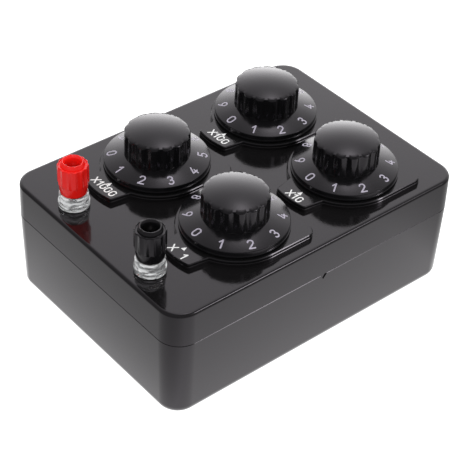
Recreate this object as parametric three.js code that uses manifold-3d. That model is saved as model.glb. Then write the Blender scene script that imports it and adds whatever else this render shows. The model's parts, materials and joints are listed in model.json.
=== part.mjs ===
// A four-decade resistance box: a black moulded case in two halves, two binding posts and four
// ten-way dial switches, each with nine resistors under its contact board.
// Millimetres. The origin is the middle of the case's base, +Z is up, +Y runs from the binding
// posts to the back of the case and +X runs to the right as the dials are read.

import * as THREE from 'three';
import { mergeVertices } from 'three/addons/utils/BufferGeometryUtils.js';
import Module from 'manifold-3d';

const wasm = await Module();
wasm.setup();

// Clearances and cuts shared by every piece
const seat = 0.2;
const overrun = 0.5;
const turn = 2 * Math.PI;

// How many sides round things have, from the dial's skirt down to leads and solder
const facets = { skirt: 32, wide: 24, round: 16, shaft: 12, small: 8, pin: 6, joint: 4 };

// The case: the halves meet at the seam, where both are widest
const shell = {
  tubHeight: 37.4,
  topHeight: 15.4,
  wall: 2.2,
  floor: 2.6,
  deck: 2.4,
  corner: 10,
  rimRound: 1.4,
  baseRound: 4.5,
  rimDraft: 0.2,
  baseDraft: 0.7,
  tongueHeight: 2.4,
  tongueWall: 0.9,
  cornerSteps: 5,
  roundSteps: 3,
};
const margin = { front: 11.3, back: 15.9, side: 6 };
const notch = { width: 3.4, depth: 2.4, reach: 0.9 };

// The screws that hold the halves together, driven from below
const screw = {
  shankRadius: 1.45,
  headRadius: 2.7,
  faceShare: 0.7,
  headHeight: 1.9,
  length: 15,
  slotWidth: 0.8,
  slotLength: 3.4,
  slotDepth: 1,
};
const pillar = { wall: 1.5, shelf: 2.6, inset: 9.5, rise: 24, boss: 3.9 };

// The raised pad under each dial and the index plate that lies on it
const pad = { radius: 23.7, step: 1.2, plate: 1.1, inset: 0.15, cornerRadius: 4.2, gap: 2.6, rowGap: 4.6 };
const padSteps = { side: 7, corner: 3, round: 13, tab: 4 };
const tab = { reach: 31.7, angle: -88, halfAngle: 15, rootHalfAngle: 24 };
const padBackAngle = 18.5;

// The dial and its knob, moulded in one
const dial = {
  radius: 21.9,
  lip: 0.3,
  lipHeight: 0.7,
  sideHeight: 2.55,
  coneRise: 2.2,
  running: 0.4,
  wallThickness: 1.6,
};
const knob = {
  baseRadius: 13.7,
  topRadius: 13.6,
  height: 9.75,
  flutes: 20,
  fluteDepth: 0.6,
  bevel: 0.4,
  domeRise: 2.1,
  domeShare: 0.5,
  wall: 2.6,
};
const stepsPerFlute = 3;
const hub = { radius: 6, drop: 0.8, roof: 3 };

// The switch: spindle, bush, index wheel, spring, contact board, wiper and resistors
const spindle = { radius: 3, insideKnob: 8.4, belowBoard: 1.6, flatDepth: 0.6, running: 0.25 };
const wheel = { radius: 7.5, notchDepth: 0.8, thickness: 3, gap: 0.6, positions: 10 };
const bush = { radius: 5, aboveNut: 0.4, flangeRadius: 8.5, flange: 1.6, clearance: 0.3, armWidth: 6 };
const panelNut = { across: 14, thickness: 2 };
const post = { radius: 1.8, reach: 15.2, pin: 1, head: 0.8 };
const leaf = { thickness: 0.35, height: 2.4, nose: 1.1, noseHalfWidth: 1.6, hookAngle: 40, bow: 0.6 };
const board = {
  radius: 17.4,
  thickness: 1.6,
  hole: 3.6,
  trackRadius: 12,
  contactRadius: 1.6,
  contactHeight: 0.6,
  ringInner: 4.8,
  ringWidth: 2,
};
const tag = { width: 2.4, thickness: 0.6, length: 5, inset: 1.5 };
const wiper = {
  hubRadius: 5.4,
  hubHeight: 2.6,
  hubGap: 0.6,
  thickness: 0.6,
  width: 3.6,
  tipRadius: 1,
  lift: 0.9,
};
const resistor = { radius: 1.15, length: 4.4, lead: 0.35, joint: 0.7, drop: 2.2 };

// The binding posts
const collar = {
  flangeRadius: 6.4,
  radius: 5.95,
  flangeHeight: 3,
  height: 6.1,
  floor: 2.4,
  cup: 5.05,
  step: 0.4,
  lip: 0.3,
};
const stud = {
  radius: 2.8,
  flangeAcross: 8.6,
  top: 14.4,
  below: 7.2,
  socket: 2.05,
  crossHole: 1,
  crossRise: 2,
};
const cap = {
  bottomRadius: 5.5,
  waistRadius: 5.95,
  radius: 6.3,
  taperHeight: 4.2,
  fluteRun: 0.5,
  fluteDepth: 0.4,
  flutes: 14,
  height: 13.1,
  edge: 0.35,
  grooveOuter: 5.6,
  grooveDepth: 0.5,
  ringRadius: 4.9,
  ringRise: 1.5,
  ringTaper: 0.6,
  mouth: 3.8,
  mouthDepth: 1,
  skirtWall: 0.5,
  clearance: 0.3,
};
const washer = { thickness: 0.8, edgeGap: 0.35, roofGap: 0.3 };
const studNut = { across: 10, thickness: 3 };
const lug = { ringWidth: 2.2, thickness: 0.6, tailWidth: 3, tail: 11 };
const postClearance = 3.35;

const wire = { radius: 0.8, steps: 12, straight: 3, sag: 7 };

// Sizes that follow from the ones above
const deckHeight = shell.tubHeight + shell.topHeight;
const padHeight = pad.step + seat + pad.plate;
const padBack = pad.radius * Math.cos(radians(padBackAngle));
const dialX = pad.radius + pad.gap / 2;
const rowSpacing = tab.reach + padBack + pad.rowGap;
const caseHalfWidth = dialX + pad.radius + margin.side;
const postToDial = collar.flangeRadius + postClearance + tab.reach;
const caseHalfLength = (margin.front + postToDial + rowSpacing + padBack + margin.back) / 2;
const postY = margin.front - caseHalfLength;
const frontRowY = postY + postToDial;
const backRowY = frontRowY + rowSpacing;

const skirtBottom = padHeight + dial.running;
const skirtTop = skirtBottom + dial.sideHeight;
const coneTop = skirtTop + dial.coneRise;
const knobTop = coneTop + knob.height;
const bushTop = padHeight + seat + panelNut.thickness + bush.aboveNut;
const frameTop = -shell.deck - seat;
const frameBottom = frameTop - bush.flange;
const wheelTop = frameBottom - wheel.gap;
const wheelBottom = wheelTop - wheel.thickness;
const wiperTop = wheelBottom - wiper.hubGap;
const wiperBottom = wiperTop - wiper.hubHeight;
const contactTop = wiperBottom - wiper.lift;
const boardTop = contactTop - board.contactHeight;
const boardBottom = boardTop - board.thickness;
const collarTop = seat + collar.height;
const washerBottom = collarTop + seat;
const capBottom = washerBottom + seat;
const stepAngle = turn / wheel.positions;

function radians(degrees) {
  return degrees * Math.PI / 180;
}

function polar(radius, angle) {
  return new THREE.Vector2(radius * Math.cos(angle), radius * Math.sin(angle));
}

// Points on an arc about a centre, both ends included
function arc(centre, radius, from, to, steps) {
  const points = [];
  for (let i = 0; i <= steps; i += 1) {
    points.push(polar(radius, from + (to - from) * i / steps).add(centre));
  }
  return points;
}

// A closed mesh as a solid for joining and cutting: shared corners merged, flat slivers dropped
// and its faces turned outwards
function solid(geometry) {
  const bare = geometry.clone();
  for (const name of Object.keys(bare.attributes)) {
    if (name !== 'position') bare.deleteAttribute(name);
  }
  const merged = mergeVertices(bare);
  const corners = merged.attributes.position.array;
  const kept = [];
  let volume = 0;
  for (let i = 0; i < merged.index.count; i += 3) {
    const face = [0, 1, 2].map((k) => merged.index.getX(i + k));
    if (new Set(face).size < face.length) continue;
    const [a, b, c] = face.map((k) => new THREE.Vector3().fromArray(corners, k * 3));
    volume += a.dot(b.cross(c));
    kept.push(face);
  }
  const facing = volume < 0 ? kept.map((face) => face.reverse()) : kept;
  return new wasm.Manifold(new wasm.Mesh({
    numProp: 3,
    vertProperties: new Float32Array(corners),
    triVerts: new Uint32Array(facing.flat()),
  }));
}

function join(...solids) {
  return solids.reduce((whole, piece) => whole.add(piece));
}

function cut(body, ...tools) {
  return tools.reduce((rest, tool) => rest.subtract(tool), body);
}

function geometryOf(body) {
  const mesh = body.getMesh();
  const geometry = new THREE.BufferGeometry();
  geometry.setAttribute('position', new THREE.BufferAttribute(new Float32Array(mesh.vertProperties), 3));
  geometry.setIndex(new THREE.BufferAttribute(new Uint32Array(mesh.triVerts), 1));
  geometry.computeVertexNormals();
  return geometry;
}

// A solid through level outlines of equal point count, closed at its first and last outline
function loft(levels) {
  const count = levels[0].outline.length;
  const corners = levels.flatMap(({ outline, z }) => outline.flatMap((point) => [point.x, point.y, z]));
  const faces = [];
  for (let level = 0; level + 1 < levels.length; level += 1) {
    for (let i = 0; i < count; i += 1) {
      const a = level * count + i;
      const b = level * count + (i + 1) % count;
      faces.push(a, b, b + count, a, b + count, a + count);
    }
  }
  const last = (levels.length - 1) * count;
  for (const face of THREE.ShapeUtils.triangulateShape(levels[0].outline, [])) {
    faces.push(face[2], face[1], face[0]);
  }
  for (const face of THREE.ShapeUtils.triangulateShape(levels[levels.length - 1].outline, [])) {
    faces.push(last + face[0], last + face[1], last + face[2]);
  }
  const geometry = new THREE.BufferGeometry();
  geometry.setAttribute('position', new THREE.Float32BufferAttribute(corners, 3));
  geometry.setIndex(faces);
  return solid(geometry);
}

// A turned solid about the Z axis from a profile of radius and height
function turned(profile, sides) {
  const points = profile.map(([radius, z]) => new THREE.Vector2(radius, z));
  return solid(new THREE.LatheGeometry(points, sides).rotateX(Math.PI / 2));
}

// A round bar along Z between two heights
function bar(radius, from, to, sides, x = 0, y = 0) {
  const geometry = new THREE.CylinderGeometry(radius, radius, to - from, sides);
  geometry.rotateX(Math.PI / 2).translate(x, y, (from + to) / 2);
  return solid(geometry);
}

// A tool for a round hole: its flat sides, not its corners, lie at the radius
function hole(radius, from, to, sides, x = 0, y = 0) {
  return bar(radius / Math.cos(Math.PI / sides), from, to, sides, x, y);
}

function block(width, depth, from, to, x = 0, y = 0) {
  const geometry = new THREE.BoxGeometry(width, depth, to - from);
  geometry.translate(x, y, (from + to) / 2);
  return solid(geometry);
}

// A six-sided prism measured across its flats
function hexagon(across, from, to) {
  return hole(across / 2, from, to, 6);
}

// A flat shape of a closed outline between two heights
function plate(outline, from, to) {
  return loft([{ outline, z: from }, { outline, z: to }]);
}

function material(color, roughness, metalness = 0) {
  return new THREE.MeshStandardMaterial({ color, roughness, metalness });
}

const finish = {
  caseBlack: material(0x1d1c1d, 0.22),
  knobBlack: material(0x151416, 0.2),
  plateBlack: material(0x19181a, 0.25),
  red: material(0xd8120f, 0.28),
  black: material(0x161517, 0.28),
  clear: material(0xe9edf0, 0.06),
  nickel: material(0xb9b9b6, 0.25, 1),
  brass: material(0xb8913f, 0.32, 1),
  steel: material(0x8d8f92, 0.4, 1),
  phenolic: material(0x6b3d22, 0.6),
  resistorTan: material(0xc9a877, 0.55),
  wireRed: material(0xa31713, 0.5),
  wireBlack: material(0x202022, 0.5),
  wireYellow: material(0xc9a21c, 0.5),
};

finish.clear.transparent = true;
finish.clear.opacity = 0.35;

function piece(name, body, look) {
  const mesh = new THREE.Mesh(body.isBufferGeometry ? body : geometryOf(body), look);
  mesh.name = name;
  return mesh;
}

// The case's outline drawn in by an inset, with its corners rounded
function caseOutline(inset) {
  const radius = shell.corner - inset;
  const x = caseHalfWidth - inset - radius;
  const y = caseHalfLength - inset - radius;
  const corners = [[x, y], [-x, y], [-x, -y], [x, -y]];
  const quarter = turn / corners.length;
  return corners.flatMap(([cx, cy], k) => {
    return arc(new THREE.Vector2(cx, cy), radius, k * quarter, (k + 1) * quarter, shell.cornerSteps);
  });
}

// The four places near the corners where the halves are screwed together
const screwPlaces = [
  ['front_left', -1, -1],
  ['front_right', 1, -1],
  ['back_left', -1, 1],
  ['back_right', 1, 1],
].map(([name, sx, sy]) => {
  return { name, x: sx * (caseHalfWidth - pillar.inset), y: sy * (caseHalfLength - pillar.inset) };
});
const pillarTop = pillar.rise + pillar.shelf;
const headRecess = screw.headRadius + seat;
const screwRise = pillar.rise - screw.headHeight - seat;

// Each dial's place, the position it is turned to and its name
const decades = [
  { name: 'x1000', x: -dialX, y: frontRowY, setTo: 1 },
  { name: 'x100', x: -dialX, y: backRowY, setTo: 0 },
  { name: 'x10', x: dialX, y: backRowY, setTo: 0 },
  { name: 'x1', x: dialX, y: frontRowY, setTo: 0 },
];
const posts = [
  { name: 'red', x: -dialX, look: finish.red },
  { name: 'black', x: dialX, look: finish.black },
];

// The outline of the pad: a disc with a straight right side, a straight back, a rounded corner
// between them and a tab towards the reader
function padOutline(inset) {
  const radius = pad.radius - inset;
  const back = padBack - inset;
  const cornerRadius = pad.cornerRadius - inset;
  const centre = new THREE.Vector2(radius - cornerRadius, back - cornerRadius);
  const origin = new THREE.Vector2(0, 0);
  const pointer = radians(tab.angle);
  const rootHalf = radians(tab.rootHalfAngle);
  const endHalf = radians(tab.halfAngle) - inset / tab.reach;
  const quarter = turn / 4;
  const backStart = quarter + Math.acos(back / radius);
  return [
    ...arc(origin, radius, pointer + rootHalf, 0, padSteps.side),
    ...arc(centre, cornerRadius, 0, quarter, padSteps.corner),
    ...arc(origin, radius, backStart, turn + pointer - rootHalf, padSteps.round),
    ...arc(origin, tab.reach - inset, pointer - endHalf, pointer + endHalf, padSteps.tab),
  ];
}

function topShell() {
  const outer = [];
  const quarter = turn / 4;
  for (let i = 0; i <= shell.roundSteps; i += 1) {
    const angle = quarter * i / shell.roundSteps;
    const inset = shell.rimDraft + shell.rimRound * (1 - Math.cos(angle));
    outer.push({ outline: caseOutline(inset), z: deckHeight - shell.rimRound * (1 - Math.sin(angle)) });
  }
  const inside = caseOutline(shell.wall);
  let body = loft([
    { outline: inside, z: deckHeight - shell.deck },
    { outline: inside, z: shell.tubHeight + seat },
    { outline: caseOutline(0), z: shell.tubHeight + seat },
    ...outer,
  ]);
  const bossRoot = deckHeight - shell.deck / 2;
  const underDeck = deckHeight - shell.deck - overrun;
  for (const { x, y } of screwPlaces) {
    body = join(body, bar(pillar.boss, pillarTop + seat, bossRoot, facets.shaft, x, y));
    const pilotTop = screwRise + screw.headHeight + screw.length + overrun;
    body = cut(body, hole(screw.shankRadius + seat, pillar.rise, pilotTop, facets.small, x, y));
  }
  const bushHole = bush.radius + bush.clearance;
  for (const { x, y } of decades) {
    const outline = padOutline(0).map((point) => point.clone().add(new THREE.Vector2(x, y)));
    body = join(body, plate(outline, deckHeight - overrun, deckHeight + pad.step));
    body = cut(body, hole(bushHole, underDeck, deckHeight + padHeight, facets.round, x, y));
  }
  for (const { x } of posts) {
    body = cut(body, hole(stud.radius + seat, underDeck, deckHeight + overrun, facets.shaft, x, postY));
  }
  return body;
}

function bottomTub() {
  const levels = [];
  const quarter = turn / 4;
  for (let i = 0; i <= shell.roundSteps; i += 1) {
    const angle = quarter * i / shell.roundSteps;
    const inset = shell.baseDraft + shell.baseRound * (1 - Math.sin(angle));
    levels.push({ outline: caseOutline(inset), z: shell.baseRound * (1 - Math.cos(angle)) });
  }
  const tongueOuter = shell.wall + seat;
  const tongueInner = tongueOuter + shell.tongueWall;
  levels.push({ outline: caseOutline(0), z: shell.tubHeight });
  levels.push({ outline: caseOutline(tongueOuter), z: shell.tubHeight });
  levels.push({ outline: caseOutline(tongueOuter), z: shell.tubHeight + shell.tongueHeight });
  levels.push({ outline: caseOutline(tongueInner), z: shell.tubHeight + shell.tongueHeight });
  levels.push({ outline: caseOutline(tongueInner + shell.baseDraft), z: shell.floor });
  let body = loft(levels);
  for (const { x, y } of screwPlaces) {
    body = join(body, bar(headRecess + pillar.wall, shell.floor / 2, pillarTop, facets.shaft, x, y));
    body = cut(body, hole(headRecess, -overrun, pillar.rise, facets.shaft, x, y));
    body = cut(body, hole(screw.shankRadius + seat, 0, pillarTop + overrun, facets.small, x, y));
  }
  // The small V nick in the seam at the middle of the right side, for prising the halves apart
  const outside = caseHalfWidth + overrun;
  const nick = new THREE.Shape([
    new THREE.Vector2(-notch.width / 2, shell.tubHeight + overrun),
    new THREE.Vector2(-notch.width / 2, shell.tubHeight),
    new THREE.Vector2(0, shell.tubHeight - notch.depth),
    new THREE.Vector2(notch.width / 2, shell.tubHeight),
    new THREE.Vector2(notch.width / 2, shell.tubHeight + overrun),
  ]);
  const tool = new THREE.ExtrudeGeometry(nick, { depth: notch.reach + overrun, bevelEnabled: false });
  tool.rotateX(quarter).rotateZ(quarter).translate(outside - notch.reach - overrun, 0, 0);
  return cut(body, solid(tool));
}

function caseScrew() {
  const head = turned([
    [0, 0],
    [screw.headRadius * screw.faceShare, 0],
    [screw.headRadius, screw.headHeight / 2],
    [screw.headRadius, screw.headHeight],
    [0, screw.headHeight],
  ], facets.shaft);
  const shank = bar(screw.shankRadius, screw.headHeight / 2, screw.headHeight + screw.length, facets.small);
  const slot = join(
    block(screw.slotLength, screw.slotWidth, -overrun, screw.slotDepth),
    block(screw.slotWidth, screw.slotLength, -overrun, screw.slotDepth),
  );
  return cut(join(head, shank), slot);
}

// One outline of a fluted wall: broad hollows between ridges
function fluted(radius, depth, flutes) {
  const count = flutes * stepsPerFlute;
  const points = [];
  for (let i = 0; i < count; i += 1) {
    const share = (i % stepsPerFlute) / stepsPerFlute;
    points.push(polar(radius - depth * Math.sin(Math.PI * share), turn * i / count));
  }
  return points;
}

function dialKnob() {
  const top = knobTop + knob.bevel;
  const skirt = turned([
    [0, skirtBottom],
    [dial.radius + dial.lip, skirtBottom],
    [dial.radius + dial.lip, skirtBottom + dial.lipHeight],
    [dial.radius, skirtBottom + dial.lipHeight],
    [dial.radius, skirtTop],
    [knob.baseRadius, coneTop],
    [0, coneTop],
  ], facets.skirt);
  const rim = knob.topRadius - knob.bevel;
  const ring = (radius, depth, z) => ({ outline: fluted(radius, depth, knob.flutes), z });
  const grip = loft([
    ring(knob.baseRadius, knob.fluteDepth, coneTop - dial.wallThickness / 2),
    ring(knob.topRadius, knob.fluteDepth, knobTop),
    ring(rim, knob.fluteDepth / 2, top),
    ring(rim * knob.domeShare, 0, top + knob.domeRise),
  ]);
  const innerRadius = dial.radius - dial.wallThickness;
  const cavityRadius = knob.topRadius - knob.wall;
  const boreRadius = spindle.radius + seat;
  const cavity = turned([
    [0, skirtBottom - overrun],
    [innerRadius, skirtBottom - overrun],
    [innerRadius, skirtTop - dial.wallThickness],
    [knob.baseRadius - knob.wall, coneTop - dial.wallThickness],
    [cavityRadius, knobTop - hub.roof],
    [0, knobTop - hub.roof],
  ], facets.round);
  const socket = cut(
    bar(hub.radius, bushTop + hub.drop, knobTop, facets.shaft),
    hole(boreRadius, bushTop, bushTop + spindle.insideKnob + overrun, facets.shaft),
  );
  return join(cut(join(skirt, grip), cavity), socket);
}

function indexPlate() {
  const body = plate(padOutline(pad.inset), pad.step + seat, padHeight);
  return cut(body, hole(bush.radius + bush.clearance, 0, padHeight + overrun, facets.round));
}

// The index wheel's edge: ten rounded notches, one of them at the back
function wheelOutline() {
  const stepsPerNotch = 3;
  const count = wheel.positions * stepsPerNotch;
  const points = [];
  for (let i = 0; i < count; i += 1) {
    const angle = turn * i / count;
    const depth = wheel.notchDepth * (1 + Math.cos(angle * wheel.positions)) / 2;
    points.push(polar(wheel.radius - depth, angle + turn / 4));
  }
  return points;
}

function spindleWithWheel() {
  const top = bushTop + spindle.insideKnob;
  const shaft = bar(spindle.radius, boardBottom - spindle.belowBoard, top, facets.shaft);
  const width = 2 * spindle.radius;
  const flatMiddle = 2 * spindle.radius - spindle.flatDepth;
  const flat = block(width, width, bushTop + hub.drop, top + overrun, flatMiddle);
  return join(cut(shaft, flat), plate(wheelOutline(), wheelBottom, wheelTop));
}

// The threaded bush with the bar and the two posts that carry the contact board. The posts' thin
// ends go through the board and are headed over below it
function switchFrame() {
  const bore = spindle.radius + spindle.running;
  let body = join(
    bar(bush.radius, frameBottom, bushTop, facets.round),
    bar(bush.flangeRadius, frameBottom, frameTop, facets.round),
    block(2 * post.reach, bush.armWidth, frameBottom, frameTop),
  );
  for (const x of [-post.reach, post.reach]) {
    body = join(
      body,
      bar(bush.armWidth / 2, frameBottom, frameTop, facets.small, x),
      bar(post.radius, boardTop + seat, frameTop, facets.small, x),
      bar(post.pin, boardBottom - seat - post.head, frameTop, facets.pin, x),
      bar(post.radius, boardBottom - seat - post.head, boardBottom - seat, facets.pin, x),
    );
  }
  return cut(body, hole(bore, frameBottom - overrun, bushTop + overrun, facets.shaft));
}

function panelNutSolid() {
  const from = padHeight + seat;
  return cut(
    hexagon(panelNut.across, from, from + panelNut.thickness),
    hole(bush.radius + seat, from - overrun, from + panelNut.thickness + overrun, facets.round),
  );
}

// The flat spring: bent round both posts, with a V in its middle that sits in a wheel notch
function indexSpring() {
  const half = leaf.thickness / 2;
  const tip = wheel.radius - wheel.notchDepth + seat + half;
  const shoulder = tip + leaf.nose;
  const around = post.radius + seat + leaf.thickness;
  const pillarAxis = new THREE.Vector2(post.reach, 0);
  const halfRun = [
    new THREE.Vector2(leaf.noseHalfWidth, shoulder),
    new THREE.Vector2(post.reach / 2, (shoulder + around) / 2 + leaf.bow),
    ...arc(pillarAxis, around, turn / 4, -radians(leaf.hookAngle), 4),
  ];
  const run = [
    ...halfRun.map((point) => new THREE.Vector2(-point.x, point.y)).reverse(),
    new THREE.Vector2(0, tip),
    ...halfRun,
  ];
  const normals = run.map((point, i) => {
    const before = run[Math.max(i - 1, 0)];
    const after = run[Math.min(i + 1, run.length - 1)];
    const along = after.clone().sub(before).normalize();
    return new THREE.Vector2(-along.y, along.x).multiplyScalar(half);
  });
  const outline = [
    ...run.map((point, i) => point.clone().sub(normals[i])),
    ...run.map((point, i) => point.clone().add(normals[i])).reverse(),
  ];
  const middleHeight = (wheelTop + wheelBottom) / 2;
  return plate(outline, middleHeight - leaf.height / 2, middleHeight + leaf.height / 2);
}

function contactAngle(position) {
  return radians(tab.angle) + stepAngle * position;
}

function contactBoard() {
  let body = bar(board.radius, boardBottom, boardTop, facets.wide);
  const middle = (boardTop + boardBottom) / 2;
  const ringOuter = board.ringInner + board.ringWidth;
  body = join(body, bar(ringOuter, middle, contactTop, facets.round));
  body = cut(body, bar(board.ringInner, boardTop, contactTop + overrun, facets.round));
  body = cut(body, hole(board.hole, boardBottom - overrun, contactTop + overrun, facets.shaft));
  for (let k = 0; k < wheel.positions; k += 1) {
    const place = polar(board.trackRadius, contactAngle(k));
    body = join(body, bar(board.contactRadius, middle, contactTop, facets.pin, place.x, place.y));
  }
  for (const x of [-post.reach, post.reach]) {
    body = cut(body, hole(post.pin + seat, boardBottom - overrun, boardTop + overrun, facets.pin, x));
  }
  for (const side of [-1, 1]) {
    const y = side * (board.radius - tag.inset);
    body = join(body, block(tag.width, tag.thickness, boardBottom - tag.length, middle, 0, y));
  }
  return body;
}

// The wiper: a hub on the spindle and one arm that joins the collector ring to a contact
function wiperArm() {
  const angle = contactAngle(0);
  const ringMiddle = board.ringInner + board.ringWidth / 2;
  const reach = board.trackRadius + wiper.tipRadius;
  const arm = solid(new THREE.BoxGeometry(reach, wiper.width, wiper.thickness)
    .translate(reach / 2, 0, wiperBottom + wiper.thickness / 2)
    .rotateZ(angle));
  const armMiddle = wiperBottom + wiper.thickness / 2;
  let body = join(bar(wiper.hubRadius, wiperBottom, wiperTop, facets.shaft), arm);
  for (const radius of [ringMiddle, board.trackRadius]) {
    const place = polar(radius, angle);
    body = join(body, bar(wiper.tipRadius, contactTop + seat, armMiddle, facets.small, place.x, place.y));
  }
  return cut(body, hole(spindle.radius + seat, contactTop, wiperTop + overrun, facets.shaft));
}

// Nine resistors in a chain from contact 0 to contact 9, hung under the board by their leads
function resistorChain() {
  const z = boardBottom - resistor.drop;
  const places = [];
  for (let k = 0; k < wheel.positions; k += 1) {
    places.push(polar(board.trackRadius, contactAngle(k)));
  }
  const leadRing = [-1, 1].map((side) => {
    const share = 1 + side * resistor.lead / board.trackRadius;
    return places.map((place) => place.clone().multiplyScalar(share));
  });
  const leads = plate([...leadRing[0].reverse(), ...leadRing[1]], z - resistor.lead, z + resistor.lead);
  const solids = places.map((place) => {
    return bar(resistor.joint, z - resistor.joint, boardBottom - seat, facets.joint, place.x, place.y);
  });
  for (let k = 1; k < wheel.positions; k += 1) {
    const middle = places[k].clone().add(places[k - 1]).divideScalar(2);
    const body = new THREE.CylinderGeometry(resistor.radius, resistor.radius, resistor.length, facets.pin);
    body.rotateZ(middle.angle()).translate(middle.x, middle.y, z);
    solids.push(solid(body));
  }
  return join(leads, ...solids);
}

function postCollar() {
  const top = collarTop;
  return turned([
    [stud.radius + seat, seat],
    [collar.flangeRadius, seat],
    [collar.flangeRadius, seat + collar.flangeHeight],
    [collar.radius - collar.step, seat + collar.flangeHeight + collar.step],
    [collar.radius, top - collar.lip],
    [collar.radius - collar.lip, top],
    [collar.cup, top],
    [collar.cup, seat + collar.floor],
    [stud.radius + seat, seat + collar.floor],
    [stud.radius + seat, seat],
  ], facets.wide);
}

function postStud() {
  const flangeBottom = seat + collar.floor + seat;
  const bottom = -shell.deck - stud.below;
  const rod = bar(stud.radius, bottom, stud.top, facets.round);
  const flange = hexagon(stud.flangeAcross, flangeBottom, collarTop);
  const socket = bar(stud.socket, -shell.deck, stud.top + overrun, facets.shaft);
  const width = 2 * stud.radius + overrun;
  const across = new THREE.CylinderGeometry(stud.crossHole, stud.crossHole, width, facets.small);
  across.translate(0, 0, collarTop + stud.crossRise);
  return cut(join(rod, flange), socket, solid(across));
}

function postCap() {
  const waist = capBottom + cap.taperHeight;
  const top = capBottom + cap.height;
  const ring = (radius, depth, z) => ({ outline: fluted(radius, depth, cap.flutes), z });
  const body = loft([
    ring(cap.bottomRadius, 0, capBottom),
    ring(cap.waistRadius, 0, waist),
    ring(cap.radius, cap.fluteDepth, waist + cap.fluteRun),
    ring(cap.radius, cap.fluteDepth, top - cap.edge),
    ring(cap.radius - cap.edge, cap.fluteDepth / 2, top),
  ]);
  const groove = cut(
    bar(cap.grooveOuter, top - cap.grooveDepth, top + overrun, facets.wide),
    bar(cap.ringRadius, top - cap.grooveDepth - overrun, top + 2 * overrun, facets.small),
  );
  const ringTop = top + cap.ringRise;
  const innerRing = turned([
    [0, top - cap.grooveDepth - overrun],
    [cap.ringRadius, top - cap.grooveDepth - overrun],
    [cap.ringRadius, top],
    [cap.ringRadius - cap.ringTaper, ringTop],
    [0, ringTop],
  ], facets.small);
  const bore = stud.radius + cap.clearance;
  const recessTop = washerBottom + washer.thickness + washer.roofGap;
  const hollow = turned([
    [0, capBottom - overrun],
    [cap.bottomRadius - cap.skirtWall, capBottom - overrun],
    [cap.bottomRadius - cap.skirtWall, recessTop],
    [bore, recessTop],
    [bore, ringTop - cap.mouthDepth],
    [cap.mouth, ringTop],
    [cap.mouth, ringTop + overrun],
    [0, ringTop + overrun],
  ], facets.round);
  return cut(join(cut(body, groove), innerRing), hollow);
}

function ringPiece(inner, outer, from, to, sides) {
  return turned([[inner, from], [outer, from], [outer, to], [inner, to], [inner, from]], sides);
}

const lugTop = -shell.deck - seat;
const lugBottom = lugTop - lug.thickness;

function postLug() {
  const inner = stud.radius + seat;
  const tail = block(lug.tailWidth, lug.tail, lugBottom, lugTop, 0, inner + lug.tail / 2);
  return join(ringPiece(inner, inner + lug.ringWidth, lugBottom, lugTop, facets.round), tail);
}

function postNut() {
  const top = lugBottom - seat;
  return cut(
    hexagon(studNut.across, top - studNut.thickness, top),
    hole(stud.radius + seat, top - studNut.thickness - overrun, top + overrun, facets.round),
  );
}

// A slack wire between two points, hanging straight down from each before it bows
function linkWire(from, to) {
  const down = new THREE.Vector3(0, 0, -wire.straight);
  const low = Math.min(from.z, to.z) - wire.straight - wire.sag;
  const middle = from.clone().add(to).divideScalar(2).setZ(low);
  const route = [from, from.clone().add(down), middle, to.clone().add(down), to];
  const round = arc(new THREE.Vector2(0, 0), wire.radius, 0, turn, facets.pin).slice(0, -1);
  const settings = { steps: wire.steps, bevelEnabled: false };
  settings.extrudePath = new THREE.CatmullRomCurve3(route);
  return solid(new THREE.ExtrudeGeometry(new THREE.Shape(round), settings));
}

function placed(objects, x, y, z) {
  const group = new THREE.Group();
  group.position.set(x, y, z);
  group.add(...objects);
  return group;
}

const resistanceBox = new THREE.Group();
resistanceBox.add(piece('top_shell', topShell(), finish.caseBlack));
resistanceBox.add(piece('bottom_tub', bottomTub(), finish.caseBlack));

const screwShape = geometryOf(caseScrew());
for (const { name, x, y } of screwPlaces) {
  resistanceBox.add(placed([piece(`case_screw_${name}`, screwShape, finish.steel)], x, y, screwRise));
}

const postShapes = {
  cap: geometryOf(postCap()),
  collar: geometryOf(postCollar()),
  stud: geometryOf(postStud()),
  washer: geometryOf(ringPiece(
    stud.radius + seat,
    cap.bottomRadius - cap.skirtWall - washer.edgeGap,
    washerBottom,
    washerBottom + washer.thickness,
    facets.round,
  )),
  nut: geometryOf(postNut()),
  lug: geometryOf(postLug()),
};
for (const { name, x, look } of posts) {
  resistanceBox.add(placed([
    piece(`post_cap_${name}`, postShapes.cap, look),
    piece(`post_collar_${name}`, postShapes.collar, finish.clear),
    piece(`post_stud_${name}`, postShapes.stud, finish.nickel),
    piece(`post_washer_${name}`, postShapes.washer, finish.nickel),
    piece(`post_nut_${name}`, postShapes.nut, finish.nickel),
    piece(`post_lug_${name}`, postShapes.lug, finish.brass),
  ], x, postY, deckHeight));
}

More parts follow.
